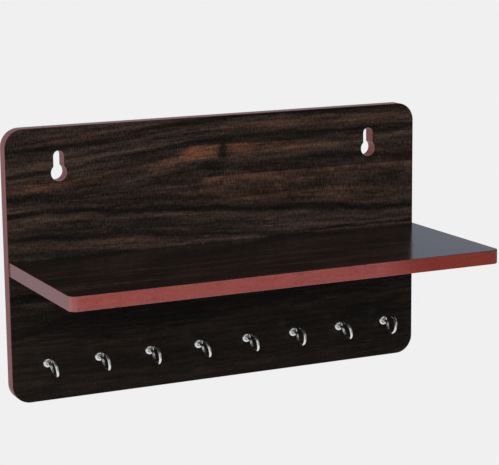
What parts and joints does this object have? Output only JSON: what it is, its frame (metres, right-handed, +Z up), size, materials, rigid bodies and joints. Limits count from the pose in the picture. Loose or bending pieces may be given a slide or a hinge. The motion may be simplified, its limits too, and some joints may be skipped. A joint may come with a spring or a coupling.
{
  "type": "wall key holder",
  "caption": "Wall key holder: dark wood-grain board hung on keyhole slots, with a narrow shelf above a row of small screwed cup hooks for keys.",
  "frame": {"origin": "middle of the board's wall face, halfway across the width and halfway up the height", "axes": "+X along the board to the right as seen from the room, +Y into the wall, +Z up; the shelf and hooks are at negative Y"},
  "size_m": [0.29, 0.1185, 0.174],
  "materials": {
    "laminate": "dark wood-grain laminate on fibreboard, edges painted brownish red",
    "hook_chrome": "bright plated wire",
    "collar_chrome": "bright plated",
    "screw_steel": "zinc plated"
  },
  "bodies": {
    "root": {"backboard": "laminate", "shelf": "laminate", "cup_hook_1": "hook_chrome", "cup_hook_2": "hook_chrome", "cup_hook_3": "hook_chrome", "cup_hook_4": "hook_chrome", "cup_hook_5": "hook_chrome", "cup_hook_6": "hook_chrome", "cup_hook_7": "hook_chrome", "cup_hook_8": "hook_chrome", "hook_collar_1": "collar_chrome", "hook_collar_2": "collar_chrome", "hook_collar_3": "collar_chrome", "hook_collar_4": "collar_chrome", "hook_collar_5": "collar_chrome", "hook_collar_6": "collar_chrome", "hook_collar_7": "collar_chrome", "hook_collar_8": "collar_chrome", "shelf_screw_1": "screw_steel", "shelf_screw_2": "screw_steel", "shelf_screw_3": "screw_steel", "shelf_screw_4": "screw_steel"}
  },
  "joints": []
}
